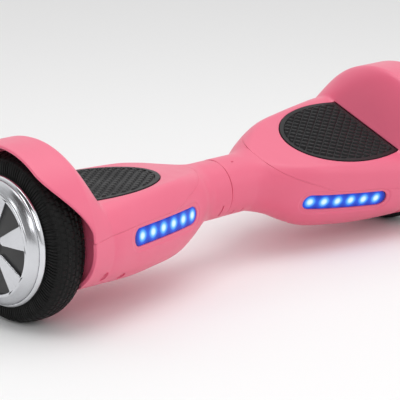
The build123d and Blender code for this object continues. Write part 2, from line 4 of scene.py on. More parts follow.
import bmesh
import bpy
import numpy as np
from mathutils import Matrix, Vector


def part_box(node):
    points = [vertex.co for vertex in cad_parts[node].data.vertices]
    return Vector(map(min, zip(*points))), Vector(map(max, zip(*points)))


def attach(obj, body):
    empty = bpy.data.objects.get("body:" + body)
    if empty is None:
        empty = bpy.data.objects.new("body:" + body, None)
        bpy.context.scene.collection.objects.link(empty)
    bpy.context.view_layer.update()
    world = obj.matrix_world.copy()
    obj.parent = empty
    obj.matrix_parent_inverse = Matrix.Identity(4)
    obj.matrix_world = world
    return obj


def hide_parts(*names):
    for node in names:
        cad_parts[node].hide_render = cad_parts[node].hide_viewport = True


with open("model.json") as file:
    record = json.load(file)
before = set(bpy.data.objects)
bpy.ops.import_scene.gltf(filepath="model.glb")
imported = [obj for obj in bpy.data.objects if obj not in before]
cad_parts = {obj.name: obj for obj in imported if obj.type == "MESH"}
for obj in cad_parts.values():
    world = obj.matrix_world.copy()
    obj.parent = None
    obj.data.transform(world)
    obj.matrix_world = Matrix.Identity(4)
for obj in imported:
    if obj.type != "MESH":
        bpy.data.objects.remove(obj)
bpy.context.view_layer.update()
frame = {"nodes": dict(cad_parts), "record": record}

# The covers, pads, tyres and hubs are made here as fine meshes, in each half's own frame: millimetres,
# x outwards from the middle, z = 0 at the axle, -y the side with the lights.  put() then moves them
# to their place: the left half is the mirror image, the right half is turned by TWIST_REST.

# ---------------------------------------------------------------- driving dimensions (mm)
MM = 0.001
AXLE_Z = 0.5 * (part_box("left_tyre")[0][2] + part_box("left_tyre")[1][2]) / MM
TWIST_REST = math.radians(23.0)
SEAM_X = 7.0
SEAM_GAP = 0.8
WALL = 3.0
NECK_R = 30.6
NECK_Z = -1.0
NECK_END = 30.0
PAD_TIP_X = 96.3
PAD_BASE_X = 222.0
PAD_TOP = 35.8
CREST_X = 252.0
FENDER_R = 94.6
FENDER_X = 294.0
FENDER_LOW = math.radians(5.0)
FENDER_HIGH = math.radians(55.0)
WELL_X = 246.0
AXLE_HOLE_R = 13.0
WHEEL_ROOM_R = 77.0
NECK = (NECK_R, NECK_Z + NECK_R, NECK_Z - NECK_R, 2.0, 2.0, NECK_Z)
STATIONS = [
    (-24.0,) + NECK,
    (12.0,) + NECK,
    (30.0,) + NECK,
    (43.0, 34.5, 30.0, -32.0, 6.0, 6.0, -1.5),
    (60.0, 45.0, 31.5, -34.0, 20.0, 13.0, -3.0),
    (77.0, 53.0, 33.5, -39.5, 33.0, 23.0, -4.0),
    (100.0, 61.0, 35.0, -46.0, 44.0, 33.0, -5.0),
    (143.0, 71.5, 35.0, -50.0, 52.0, 39.0, -5.0),
    (178.0, 78.5, 35.0, -52.0, 57.0, 40.0, -5.0),
    (PAD_BASE_X, 86.0, 35.0, -52.0, 60.0, 34.0, -5.0),
]
CREST = (CREST_X, FENDER_R - 0.6, FENDER_R, -52.0, 2.0, 28.0, 0.0)
PARTING = [
    (40.0, 31.6), (60.0, 26.0), (83.0, 20.5), (96.0, 17.5), (107.0, 14.0), (124.0, 10.5),
    (174.0, 10.0), (215.0, 8.5), (302.0, 7.0),
]
LENS_X = 136.0
LENS_Z = -3.2
LENS_LENGTH = 109.0
LENS_HEIGHT = 19.0
LENS_HALF_RUN = (LENS_LENGTH - LENS_HEIGHT) / 2     # half the straight part between its round ends
LENS_INSET = 2.2
LED_PITCH = 17.75 * math.cos(math.radians(12.6))    # along x; the row of lamps slants with the front
LED_XS = [134.0 + LED_PITCH * (k - 2.5) for k in range(6)]
LED_Z = LENS_Z + 0.4
LED_SPREAD = (6.8, 7.4)    # how far one lamp's glow reaches along x and z
TYRE_R = 83.0
TYRE_IN_X = 251.0
TYRE_OUT_X = 288.4
TYRE_MIDDLE = (TYRE_IN_X + TYRE_OUT_X) / 2
TYRE_SEAT_R = 60.5
LIP_R = 65.5
HUB_X = 303.3
HUB_RING_R = 50.0
SPOKES = 6
SPOKE_HALF = math.radians(14.0)
SPOKE_TIP_R = 19.0
SPOKE_PHASE = math.radians(16.0)
NECK_SLOTS = {"left": [(17.0, 19.4)], "right": [(3.0, 5.4), (17.0, 19.4)]}
SLOT_ANGLES = (20, 52)     # degrees below level, towards the front
PORT = (120.0, 57.0, -20.0, 16.4, 8.1)        # x, floor y, z, radius of the recess, radius of its hole
BUTTON = (160.0, 66.0, -18.0, 11.5, 10.1)
SCREW_RECESS_R = 4.2
KNOB_PITCH = (12.9, 9.4)   # diagonals of the foot pads' diamond tread
PAD_BORDER = 4.0           # the smooth edge round that tread
COVER_SCREWS = [(88.0, 36.0, -30.0), (196.0, 64.5, -24.0), (227.0, 75.0, -24.0)]

EDGE_R = 0.6               # rounding of the covers' edges
SEAM_R = 0.3               # rounding of the seam between upper and lower cover
SEAM_HALF = 0.06           # half the gap of that seam
BEZEL_WIDTH = 5.0          # the sunk frame round the light window
BEZEL_DEPTH = 0.9
STEP = 2.0                 # spacing of the covers' mesh
SHARP_ANGLE = math.radians(40)
STRIP = 34                 # faces from the seam to the pad opening
WELD = 0.02
RIB_HEIGHT = 0.8           # the raised rings on the wall beside the wheel
RIB_RADII = (38.0, 70.0)
PUNCH_MARGIN = 3.0         # how far past a hole the mesh is refined first
TYRE_BLOCKS = 72
TYRE_RIBS = 150
LANE = 5.2                 # width of one row of tread blocks
TREAD_LOW = TYRE_R - 6.0   # the blocks are cut outside this radius
SHOULDER_LOW = TYRE_R - 19
SHOULDER_HIGH = TYRE_R - 4.0


# ---------------------------------------------------------------- placing meshes
def put(points, side):
    """Points of a half's own frame, as metres in the row frame."""
    p = np.array(points, dtype=float).reshape(-1, 3)
    if side == "left":
        p = p * (-1, 1, 1)
    elif side == "right":
        c, s = math.cos(TWIST_REST), math.sin(TWIST_REST)
        y, z = p[:, 1].copy(), p[:, 2].copy()
        p[:, 1], p[:, 2] = y * c - z * s, y * s + z * c
    return (p + (0, 0, AXLE_Z)) * MM


class Shape:
    """A mesh under construction, in a half's own frame."""

    def __init__(self):
        self.bm = bmesh.new()

    def grid(self, rows):
        """Quads between rows of points of equal length, or triangles where corners coincide."""
        made = [[self.bm.verts.new(p) for p in row] for row in rows]
        for a, b in zip(made, made[1:]):
            for i in range(len(a) - 1):
                unique = []
                for v in (a[i], a[i + 1], b[i + 1], b[i]):
                    if not any((v.co - u.co).length < 1e-5 for u in unique):
                        unique.append(v)
                if len(unique) > 2:
                    self.bm.faces.new(unique)

    def weld(self, distance):
        """Joins points that lie on each other."""
        bmesh.ops.remove_doubles(self.bm, verts=self.bm.verts[:], dist=distance)
        bmesh.ops.dissolve_degenerate(self.bm, dist=1e-4, edges=self.bm.edges[:])
        return self

    def face_out(self, centre):
        """Turns every face away from a point inside the shape."""
        bmesh.ops.recalc_face_normals(self.bm, faces=self.bm.faces[:])
        self.bm.normal_update()
        facing = 0.0
        for f in self.bm.faces:
            facing += f.normal.dot(f.calc_center_median() - Vector(centre)) * f.calc_area()
        if facing < 0:
            bmesh.ops.reverse_faces(self.bm, faces=self.bm.faces[:])
        self.bm.normal_update()
        return self

    def open_edges(self):
        return [e for e in self.bm.edges if e.is_boundary]

    def lips(self, radius=EDGE_R, depth=WALL, steps=4, keep=None):
        """Rounds the open edges over and turns them inwards; keep(edge) picks which, or all of them."""
        edges = [e for e in self.open_edges() if keep is None or keep(e)]
        self.bm.normal_update()
        verts = {v for e in edges for v in e.verts}
        out = {v: Vector() for v in verts}
        normal = {v: v.normal.copy() for v in verts}
        for e in edges:
            face = e.link_faces[0]
            along = (e.verts[1].co - e.verts[0].co).normalized()
            side = along.cross(face.normal)
            if side.dot(e.verts[0].co - face.calc_center_median()) < 0:
                side = -side
            for v in e.verts:
                out[v] += side
        for v in verts:
            out[v] = out[v] - normal[v] * out[v].dot(normal[v])
            if out[v].length > 1e-6:
                out[v].normalize()
        start = {v: v.co.copy() for v in verts}
        profile = []
        for i in range(1, steps + 1):
            a = math.pi / 2 * i / steps
            profile.append((radius * math.sin(a), radius * (1 - math.cos(a))))
        profile.append((radius, radius + depth))
        last = {v: v for v in verts}
        ends = [(e.verts[0], e.verts[1], e.link_faces[0]) for e in edges]
        for across, down in profile:
            ring = {v: self.bm.verts.new(start[v] + out[v] * across - normal[v] * down) for v in verts}
            for a, b, face in ends:
                loop = [l for l in face.loops if l.vert == a]
                if loop and loop[0].link_loop_next.vert == b:
                    a, b = b, a
                self.bm.faces.new([last[a], last[b], ring[b], ring[a]])
            last = ring
        return self

    def punch(self, centre, radius, axis, wanted):
        """Opens a round hole along an axis, where wanted(point) holds, and draws its rim to a circle."""
        flat = [i for i in range(3) if i != axis]

        def off(co):
            return Vector((co[flat[0]] - centre[flat[0]], co[flat[1]] - centre[flat[1]]))

        def inside(reach):
            middles = [(f, f.calc_center_median()) for f in self.bm.faces]
            return [f for f, c in middles if off(c).length < reach and wanted(c)]

        edges = {e for f in inside(radius + PUNCH_MARGIN) for e in f.edges}
        bmesh.ops.subdivide_edges(self.bm, edges=list(edges), cuts=1, use_grid_fill=True)
        hole = inside(radius)
        rim = {v for f in hole for v in f.verts}
        bmesh.ops.delete(self.bm, geom=hole, context="FACES")
        for v in rim:
            if v.is_valid and v.is_boundary and 0.01 < off(v.co).length < radius + 2.5:
                d = off(v.co).normalized() * radius
                v.co[flat[0]] = centre[flat[0]] + d[0]
                v.co[flat[1]] = centre[flat[1]] + d[1]
        return self

    def object(self, name, side, body, slot, node):
        """Moves the shape to its place and makes it the piece that stands for a CAD node."""
        mesh = bpy.data.meshes.new(name)
        bmesh.ops.remove_doubles(self.bm, verts=self.bm.verts[:], dist=1e-4)
        points = put([v.co[:] for v in self.bm.verts], side)
        for v, p in zip(self.bm.verts, points):
            v.co = p
        if side == "left":
            bmesh.ops.reverse_faces(self.bm, faces=self.bm.faces[:])
        self.bm.to_mesh(mesh)
        self.bm.free()
        obj = bpy.data.objects.new(name, mesh)
        bpy.context.scene.collection.objects.link(obj)
        mesh.materials.append(MATERIALS[slot])
        mesh.shade_smooth()
        mesh.set_sharp_from_angle(angle=SHARP_ANGLE)
        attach(obj, body)
        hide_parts(node)


# ---------------------------------------------------------------- curves
def smoothstep(s):
    s = min(max(s, 0.0), 1.0)
    return s * s * (3 - 2 * s)


def slope(rows, i, column):
    """The mean slope at a row of a table, or none at its ends and at a peak or dip."""
    if i == 0 or i == len(rows) - 1:
        return 0.0
    before = (rows[i][column] - rows[i - 1][column]) / (rows[i][0] - rows[i - 1][0])
    after = (rows[i + 1][column] - rows[i][column]) / (rows[i + 1][0] - rows[i][0])
    return (before + after) / 2 if before * after > 0 else 0.0


def between(rows, x):
    """All columns of a table of stations at any x, smooth between the rows."""
    i = max([k for k in range(len(rows) - 1) if rows[k][0] <= x] or [0])
    span = rows[i + 1][0] - rows[i][0]
    s = (x - rows[i][0]) / span
    w = (2 * s**3 - 3 * s**2 + 1, (s**3 - 2 * s**2 + s) * span,
         3 * s**2 - 2 * s**3, (s**3 - s**2) * span)
    found = []
    for c in range(1, len(rows[0])):
        found.append(w[0] * rows[i][c] + w[1] * slope(rows, i, c)
                     + w[2] * rows[i + 1][c] + w[3] * slope(rows, i + 1, c))
    return found


def wall_rise(s):
    """How the wall beside the foot pad climbs from the pad to the fender's crest."""
    return 0.5 * (s * s * (3 - 2 * s) + math.sin(s * math.pi / 2))


SECTIONS = {}              # sections found so far, by x


def row_at(x):
    """Half width, top, bottom, flat top, flat bottom and middle of the skin's section at x."""
    key = round(x, 4)
    if key not in SECTIONS:
        if x <= PAD_BASE_X:
            SECTIONS[key] = between(STATIONS, x)
        else:
            s = min((x - PAD_BASE_X) / (CREST_X - PAD_BASE_X), 1.0)
            rise = wall_rise(s)
            share = (s, rise, s, rise, s, s)
            SECTIONS[key] = [a + (b - a) * k for a, b, k in zip(STATIONS[-1][1:], CREST[1:], share)]
    return SECTIONS[key]


def skin(x, s, front=True, inset=0.0):
    """A point of the skin: s runs 0..4 from the top's middle round to the underside's middle."""
    width, top, bottom, flat_top, flat_bottom, middle = row_at(x)
    width, top, bottom = width - inset, top - inset, bottom + inset
    if s <= 1:
        y, z = flat_top * s, top
    elif s <= 2:
        a = (s - 1) * math.pi / 2
        y, z = flat_top + (width - flat_top) * math.sin(a), middle + (top - middle) * math.cos(a)
    elif s <= 3:
        a = (s - 2) * math.pi / 2
        y = flat_bottom + (width - flat_bottom) * math.cos(a)
        z = middle - (middle - bottom) * math.sin(a)
    else:
        y, z = flat_bottom * (4 - s), bottom
    return (x, -y if front else y, z)


def s_at_z(x, z):
    """Where the skin's flank has the height z."""
    _, top, bottom, _, _, middle = row_at(x)
    if z >= middle:
        return 1 + math.acos(min((z - middle) / (top - middle), 1.0)) / (math.pi / 2)
    return 2 + math.asin(min((middle - z) / (middle - bottom), 1.0)) / (math.pi / 2)


def s_at_y(x, y):
    """Where the skin's upper side has the half width y."""
    width, _, _, flat_top, _, _ = row_at(x)
    if y <= flat_top:
        return y / flat_top
    return 1 + math.asin(min((y - flat_top) / (width - flat_top), 1.0)) / (math.pi / 2)


def parting(x):
    """Height of the seam between the upper and the lower cover."""
    return between(PARTING, x)[0]


def stretch(x, s0, s1, count, front=True, inset=0.0):
    """Evenly spaced points of the skin between two places of one section."""
    fine = np.array([skin(x, s0 + (s1 - s0) * k / 80, front, inset) for k in range(81)])
    length = np.concatenate([[0], np.cumsum(np.linalg.norm(np.diff(fine, axis=0), axis=1))])
    want = np.linspace(0, length[-1], count)
    points = np.stack([np.interp(want, length, fine[:, c]) for c in range(3)], axis=1)
    return [tuple(p) for p in points]


def steps_between(a, b, step=STEP):
    """Even steps from a to b, both included."""
    count = max(int(round(abs(b - a) / step)), 1)
    return [a + (b - a) * k / count for k in range(count + 1)]


def tip_x():
    """Where the seam between the covers runs out over the top of the neck."""
    x = 43.0
    while parting(x) > row_at(x)[1]:
        x += 0.05
    return x


def pad_rim(t, span):
    """A point of the pad's outline, t from 0 at the tip to 1 at the straight edge."""
    u = span * t * t / 100
    return PAD_TIP_X + 100 * u, 86.2 * abs(t) * math.sqrt(span / 100) - 12.4 * u - 18.7 * u * u


def pad_edge(t, grow):
    """The pad's outline grown by an even margin."""
    span = PAD_BASE_X + grow - PAD_TIP_X
    if t <= 0:
        return PAD_TIP_X - grow, 0.0
    if t >= 1:
        x, y = pad_rim(1, span)
        return x, y + grow
    x0, y0 = pad_rim(t - 0.001, span)
    x1, y1 = pad_rim(t + 0.001, span)
    dx, dy = x1 - x0, y1 - y0
    norm = math.hypot(dx, dy)
    x, y = pad_rim(t, span)
    return x - dy / norm * grow, y + dx / norm * grow


# ---------------------------------------------------------------- covers
def fender_edge(z):
    """How far out the fender reaches at a height above the axle."""
    angle = math.asin(min(z / FENDER_R, 1.0))
    share = smoothstep((angle - FENDER_LOW) / (FENDER_HIGH - FENDER_LOW))
    return CREST_X + (FENDER_X - CREST_X) * share


def fender_tail(outer, inner):
    """A fender row from the crest out, round its edge, and back along its inside."""
    p, q = np.array(outer), np.array(inner)
    r = WALL / 2
    reach = max(fender_edge(max(outer[2], 0.0)) - r - CREST_X, 0.0)
    tail = [p + (reach * k / 20, 0, 0) for k in range(21)]
    for k in range(1, 8):
        a = math.pi * k / 8
        tail.append((p + q) / 2 + (p - q) / 2 * math.cos(a) + (reach + r * math.sin(a), 0, 0))
    tail += [q + (reach * (1 - k / 20), 0, 0) for k in range(21)]
    return [tuple(v) for v in tail]


def on_seam(edge):
    """True for an edge that runs along the seam between the covers."""
    return all(v.co.x > NECK_END and abs(v.co.z - parting(v.co.x)) < 1.0 for v in edge.verts)


def mirrored(half):
    """A run from the front to the middle, continued to the back."""
    return half + [(p[0], -p[1], p[2]) for p in reversed(half[:-1])]


def upper_cover():
    """The upper cover with its pad opening and fender."""
    shape = Shape()
    grow = 0.45 + EDGE_R
    clear = SEAM_HALF + SEAM_R
    corner_x, corner_y = pad_edge(1, grow)

    rows = [(x, 0.0) for x in steps_between(tip_x() + clear, PAD_TIP_X - grow)]
    rows += [pad_edge((k / 64) ** 0.9, grow) for k in range(1, 65)]
    rows += [(x, corner_y) for x in steps_between(corner_x, CREST_X, 1.5)[1:]]

    def flank(x, y_in, front, inset=0.0):
        return stretch(x, s_at_z(x, parting(x) + clear), s_at_y(x, y_in), STRIP, front, inset)

    def bridge(x, inset=0.0):
        return mirrored(stretch(x, s_at_y(x, corner_y), 0, STRIP, True, inset))

    for front in (True, False):
        shape.grid([flank(x, y_in, front) for x, y_in in rows])
    shape.grid([bridge(x) for x in steps_between(corner_x, CREST_X, 1.5)])
    shape.weld(WELD)
    shape.face_out((200, 0, -20))
    seam = {e for e in shape.open_edges() if on_seam(e)}
    crest = {e for e in shape.open_edges() if min(v.co.x for v in e.verts) > CREST_X - 0.01}
    shape.lips(keep=lambda e: e not in seam and e not in crest)
    shape.lips(radius=SEAM_R, keep=lambda e: e in seam)

    back = steps_between(CREST_X, WELL_X)
    for run in (lambda x, inset: flank(x, corner_y, True, inset),
                lambda x, inset: flank(x, corner_y, False, inset), bridge):
        inside = [run(x, WALL) for x in back]
        tails = [fender_tail(p, q) for p, q in zip(run(CREST_X, 0.0), inside[0])]
        shape.grid([tail + [row[k] for row in inside[1:]] for k, tail in enumerate(tails)])
    shape.weld(WELD)
    bmesh.ops.recalc_face_normals(shape.bm, faces=shape.bm.faces[:])
    add_well_wall(shape, upper=True)
    return shape


def add_well_wall(shape, upper):
    """The flat wall between the pod and the wheel, with two raised ribs round the axle hole."""
    sign = 1 if upper else -1
    z_seam = parting(WELL_X) + sign * SEAM_HALF
    end = 0.0 if upper else 4.0
    outline = mirrored(stretch(WELL_X, s_at_z(WELL_X, z_seam), end, 40, True, WALL - 0.4))
    low = math.asin(z_seam / AXLE_HOLE_R)
    turn = sign * math.pi - 2 * low
    grid = []
    for k, p in enumerate(outline):
        a = low + turn * k / (len(outline) - 1)
        q = (WELL_X, -AXLE_HOLE_R * math.cos(a), AXLE_HOLE_R * math.sin(a))
        row = []
        for share in [i / 30 for i in range(31)]:
            y = p[1] + (q[1] - p[1]) * share
            z = p[2] + (q[2] - p[2]) * share
            r = math.hypot(y, z)
            rib = sum(smoothstep((r - r0) / 1.2) - smoothstep((r - r0 - 2.6) / 1.2) for r0 in RIB_RADII)
            row.append((WELL_X + RIB_HEIGHT * rib, y, z))
        row.append((WELL_X - 2.5, q[1], q[2]))
        grid.append(row)
    shape.grid(grid)


def window(x, grow):
    """Half height of the light window at x."""
    r = LENS_HEIGHT / 2 + grow
    over = max(abs(x - LENS_X) - LENS_HALF_RUN, 0.0)
    return math.sqrt(max(r * r - over * over, 0.0))


def window_rows(grow):
    """Stations along the light window, closer together round its ends."""
    r = LENS_HEIGHT / 2 + grow
    end = [LENS_HALF_RUN + r * math.sin(math.pi / 2 * k / 10) for k in range(11)]
    straight = steps_between(LENS_X - LENS_HALF_RUN, LENS_X + LENS_HALF_RUN)[1:-1]
    return [LENS_X - d for d in reversed(end)] + straight + [LENS_X + d for d in end]


def wheel_end(x, point):
    """Draws the outermost rows of the lower cover in where they would meet the wheel."""
    start = WELL_X - 6
    if x <= start:
        return point
    near = WELL_X + 0.8
    r = math.hypot(point[1], point[2])
    limit = near + (CREST_X - near) * smoothstep((r - WHEEL_ROOM_R) / 5.0)
    share = (x - start) / (CREST_X - start)
    return (start + (limit - start) * share, point[1], point[2])


def lower_stations(side, x_tip):
    """Stations of the lower cover: those of the neck, and all of them."""
    start = (SEAM_X if side == "left" else -SEAM_X) + SEAM_GAP / 2 + EDGE_R
    marks = sorted([start, x_tip] + [x for slot in NECK_SLOTS[side] for x in slot])
    neck = [start]
    for a, b in zip(marks, marks[1:]):
        neck += steps_between(a, b)[1:]
    lens = window_rows(EDGE_R)
    bezel_in, bezel_out = lens[0] - BEZEL_WIDTH - 2, lens[-1] + BEZEL_WIDTH + 2
    rows = neck + steps_between(x_tip, bezel_in)[1:] + steps_between(bezel_in, lens[0], 0.8)[1:-1]
    rows += lens + steps_between(lens[-1], bezel_out, 0.8)[1:]
    rows += steps_between(bezel_out, CREST_X - EDGE_R)[1:]
    return neck, rows


def lower_skin(shape, side):
    """The skin of the lower cover, open where the light window goes."""
    clear = SEAM_HALF + SEAM_R
    x_tip = tip_x() - clear
    neck, rows = lower_stations(side, x_tip)

    def upper_end(x):
        return 1.0 if x <= x_tip else max(s_at_z(x, min(parting(x) - clear, row_at(x)[1])), 1.0)

    for front in (True, False):
        shape.grid([stretch(x, 0, 1, 3, front) for x in neck])
        high, near, low = [], [], []
        for x in rows:
            gap = window(x, EDGE_R) if front else 0.0
            above, below = s_at_z(x, LENS_Z + gap), s_at_z(x, LENS_Z - gap)
            under = s_at_z(x, LENS_Z - LENS_HEIGHT / 2 - BEZEL_WIDTH - 3)
            high.append([wheel_end(x, p) for p in stretch(x, upper_end(x), above, 20, front)])
            near.append([wheel_end(x, p) for p in stretch(x, below, under, 16, front)])
            low.append([wheel_end(x, p) for p in stretch(x, under, 4, 40, front)])
        for strip in (high, near, low):
            shape.grid(strip)
    shape.weld(WELD)
    shape.face_out((150, 0, -5))


def lower_cover(side):
    """The lower cover with its neck, light window, rear recesses and screw holes."""
    shape = Shape()
    lower_skin(shape, side)
    sink_bezel(shape)
    cut_slots(shape, side)
    screws = [(x, sign * y, seat) for x, y, seat in COVER_SCREWS for sign in (-1, 1)]
    recesses = (PORT, BUTTON) if side == "left" else ()
    for x, y, _ in screws:
        shape.punch((x, y, 0), SCREW_RECESS_R + EDGE_R, 2, lambda c: c.z < -20)
    for x, _, z, radius, _ in recesses:
        shape.punch((x, 0, z), radius + EDGE_R, 1, lambda c: c.y > 40)
    seam = {e for e in shape.open_edges() if on_seam(e)}
    shape.lips(keep=lambda e: e not in seam)
    shape.lips(radius=SEAM_R, keep=lambda e: e in seam)
    add_well_wall(shape, upper=False)
    for recess in recesses:
        add_recess(shape, *recess)
    for screw in screws:
        add_screw_cup(shape, *screw)
    return shape


def sink_bezel(shape):
    """Presses a shallow frame into the front round the light window."""
    shape.bm.normal_update()
    for v in shape.bm.verts:
        if v.co.y > -30 or v.co.x < 60:
            continue
        along = max(abs(v.co.x - LENS_X) - LENS_HALF_RUN, 0.0)
        away = math.hypot(along, v.co.z - LENS_Z) - LENS_HEIGHT / 2
        fade = smoothstep((parting(v.co.x) - v.co.z) / 2.5)
        v.co -= v.normal * BEZEL_DEPTH * (1 - smoothstep((away - BEZEL_WIDTH + 1.2) / 1.6)) * fade


def cut_slots(shape, side):
    """The open slots low on the neck's front and, on the right half, the index mark on its top."""
    doomed = []
    for f in shape.bm.faces:
        c = f.calc_center_median()
        down = math.degrees(math.atan2(NECK_Z - c.z, -c.y))
        slot = SLOT_ANGLES[0] < down < SLOT_ANGLES[1] and any(a < c.x < b for a, b in NECK_SLOTS[side])
        mark = side == "right" and 9.5 < c.x < 14 and abs(c.y) < 0.7 and c.z > 0
        if slot or mark:
            doomed.append(f)
    bmesh.ops.delete(shape.bm, geom=doomed, context="FACES")


def add_recess(shape, x, floor, z, radius, hole):
    """Wall and floor of a round recess in the back of the pod, with a hole in its floor."""
    grid = []
    for k in range(73):
        a = 2 * math.pi * k / 72
        ca, sa = math.cos(a), math.sin(a)
        surface = abs(skin(x + radius * ca, s_at_z(x + radius * ca, z + radius * sa))[1])
        top = max(surface - 1.2, floor - 0.6)
        depth = [(radius, top), (radius, min(floor + 0.6, top)), (radius - 0.6, floor), (hole, floor)]
        grid.append([(x + r * ca, y, z + r * sa) for r, y in depth])
    shape.grid(grid)


def add_screw_cup(shape, x, y, seat):
    """The sunk seat of a cover screw."""
    grid = []
    r = SCREW_RECESS_R
    for k in range(33):
        a = 2 * math.pi * k / 32
        ca, sa = math.cos(a), math.sin(a)
        surface = skin(x + r * ca, s_low(x + r * ca, abs(y + r * sa)))[2]
        depth = [(r, min(surface + 1.5, seat - 0.6)), (r, seat - 0.5), (r - 0.5, seat), (1.6, seat)]
        grid.append([(x + r * ca, y + r * sa, h) for r, h in depth])
    shape.grid(grid)


def s_low(x, y):
    """Where the underside has the half width y."""
    width, _, _, _, flat_bottom, _ = row_at(x)
    if y <= flat_bottom:
        return 4 - y / flat_bottom
    return 2 + math.acos(min((y - flat_bottom) / (width - flat_bottom), 1.0)) / (math.pi / 2)


# ---------------------------------------------------------------- light strip
def light_lens():
    """The blue window, sunk a little into the cover, with its glow stored on the mesh."""
    shape = Shape()
    shrink = -0.75
    grid = []
    for x in window_rows(shrink):
        gap = window(x, shrink)
        grid.append(stretch(x, s_at_z(x, LENS_Z + gap), s_at_z(x, LENS_Z - gap), 25, True, LENS_INSET))
    shape.grid(grid)
    shape.weld(0.01)
    shape.face_out((LENS_X, 0, 0))
    shape.lips(radius=0.5, depth=1.5, steps=3)
    glow = shape.bm.verts.layers.float.new("glow")
    for v in shape.bm.verts:
        rise = ((v.co.z - LED_Z) / LED_SPREAD[1]) ** 2
        v[glow] = sum(math.exp(-((v.co.x - x) / LED_SPREAD[0]) ** 2 - rise) for x in LED_XS)
    return shape


# ---------------------------------------------------------------- foot pad
def tread(x, y, edge):
    """Height of the pad: diamond knobs in slanting rows, inside a smooth border."""
    a = x / KNOB_PITCH[0] + y / KNOB_PITCH[1]
    b = x / KNOB_PITCH[0] - y / KNOB_PITCH[1]
    ease = np.vectorize(smoothstep)
    u = np.abs(a - np.floor(a) - 0.5) * 2
    w = np.abs(b - np.floor(b) - 0.5) * 2
    knob = (1 - ease((u - 0.30) / 0.50)) * (1 - 0.75 * ease((w - 0.55) / 0.36))
    border = 1 - ease(edge - PAD_BORDER)
    return 1.3 * border + 2.5 * knob * ease(edge - PAD_BORDER - 0.4)


def foot_pad():
    """The rubber mat: its tread, rounded rim and skirt."""
    shape = Shape()
    along, across, shrink = 210, 220, -0.75
    rim = [pad_edge(k / 400, shrink) for k in range(401)]
    base_x, base_y = rim[-1]
    line = np.array(rim + [(base_x, base_y * k / 200) for k in range(200)])
    rows = []
    for i in range(along + 1):
        x, half = pad_edge((i / along) ** 0.8, shrink)
        ys = np.linspace(-half, half, across + 1)
        edge = np.min(np.hypot(x - line[:, 0][None], np.abs(ys)[:, None] - line[:, 1][None]), axis=1)
        heights = PAD_TOP - 1.2 + tread(np.full_like(ys, x), ys, edge)
        rows.append([(x, y, z) for y, z in zip(ys, heights)])
    shape.grid(rows)
    shape.weld(0.005)
    shape.face_out((160, 0, 0))
    shape.lips(radius=0.5, depth=4.0, steps=3)
    return shape


# ---------------------------------------------------------------- lathe work
def lathe(shape, profile, count, warp=None):
    """Turns an (x, r) profile about the axle; warp(x, r, angle) moves single points."""
    grid = []
    for k in range(count + 1):
        a = 2 * math.pi * k / count
        row = []
        for x, r in profile:
            if warp:
                x, r = warp(x, r, a)
            row.append((x, -r * math.cos(a), r * math.sin(a)))
        grid.append(row)
    shape.grid(grid)


def rounded(points, radius, steps=4):
    """An open profile with its corners rounded."""
    out = [points[0]]
    for a, b, c in zip(points, points[1:], points[2:]):
        a, b, c = np.array(a), np.array(b), np.array(c)
        r = min(radius, 0.45 * np.linalg.norm(a - b), 0.45 * np.linalg.norm(c - b))
        p = b + (a - b) / np.linalg.norm(a - b) * r
        q = b + (c - b) / np.linalg.norm(c - b) * r
        for k in range(steps + 1):
            s = k / steps
            out.append(tuple((1 - s) ** 2 * p + 2 * s * (1 - s) * b + s * s * q))
    return out + [points[-1]]


def dense(points, step):
    """Adds points so that no run of a profile is longer than step."""
    out = [points[0]]
    for a, b in zip(points, points[1:]):
        n = max(int(math.dist(a, b) / step), 1)
        out += [tuple(np.array(a) + (np.array(b) - np.array(a)) * k / n) for k in range(1, n + 1)]
    return out


def tyre_profile():
    """The section of the tyre, from its inner bead over the tread to its outer bead."""
    flank = [
        (0.0, 22.5), (0.0, 19.0), (-0.05, 14.0), (0.0, 8.5),
        (1.0, 5.5), (3.2, 2.9), (7.0, 1.1), (12.0, 0.2),
    ]
    inner = [(TYRE_IN_X + dx, TYRE_R - dr) for dx, dr in flank]
    outer = [(TYRE_OUT_X - dx, TYRE_R - dr) for dx, dr in reversed(flank)]
    return dense(rounded(inner + [(TYRE_MIDDLE, TYRE_R)] + outer, 2.0), 0.9)


def block_groove(x, a):
    """Depth of the grooves between the small blocks of the tread, one row of blocks to a lane."""
    lane = (x - TYRE_MIDDLE) / LANE + 0.5
    shift = 0.5 * (math.floor(lane) % 2)
    u = (a * TYRE_BLOCKS / (2 * math.pi) + shift) % 1.0
    w = lane % 1.0
    cross = 1 - smoothstep((min(u, 1 - u) - 0.07) / 0.09)
    ring = 1 - smoothstep((min(w, 1 - w) - 0.07) / 0.09)
    return max(cross, ring if abs(x - TYRE_MIDDLE) < 14 else 0)


def shoulder_rib(r, a):
    """Depth of the hollows between the ribs that run down the tyre's shoulder."""
    u = (a * TYRE_RIBS / (2 * math.pi)) % 1.0
    fade = smoothstep((r - SHOULDER_LOW) / 2.0) * smoothstep((SHOULDER_HIGH - r) / 1.5)
    return 1.1 * smoothstep((abs(u - 0.5) - 0.22) / 0.12) * fade


def tyre():
    """The solid tyre: small tread blocks, ribbed shoulders and a smooth bead."""
    def warp(x, r, a):
        groove = block_groove(x, a) if r > TREAD_LOW else 0.0
        if SHOULDER_LOW < r <= SHOULDER_HIGH:
            push = shoulder_rib(r, a)
            x += -push if x > TYRE_MIDDLE else push
        return x, r - groove

    shape = Shape()
    lathe(shape, tyre_profile(), 1080, warp)
    shape.weld(0.001)
    shape.face_out((TYRE_MIDDLE, 0, 0))
    return shape


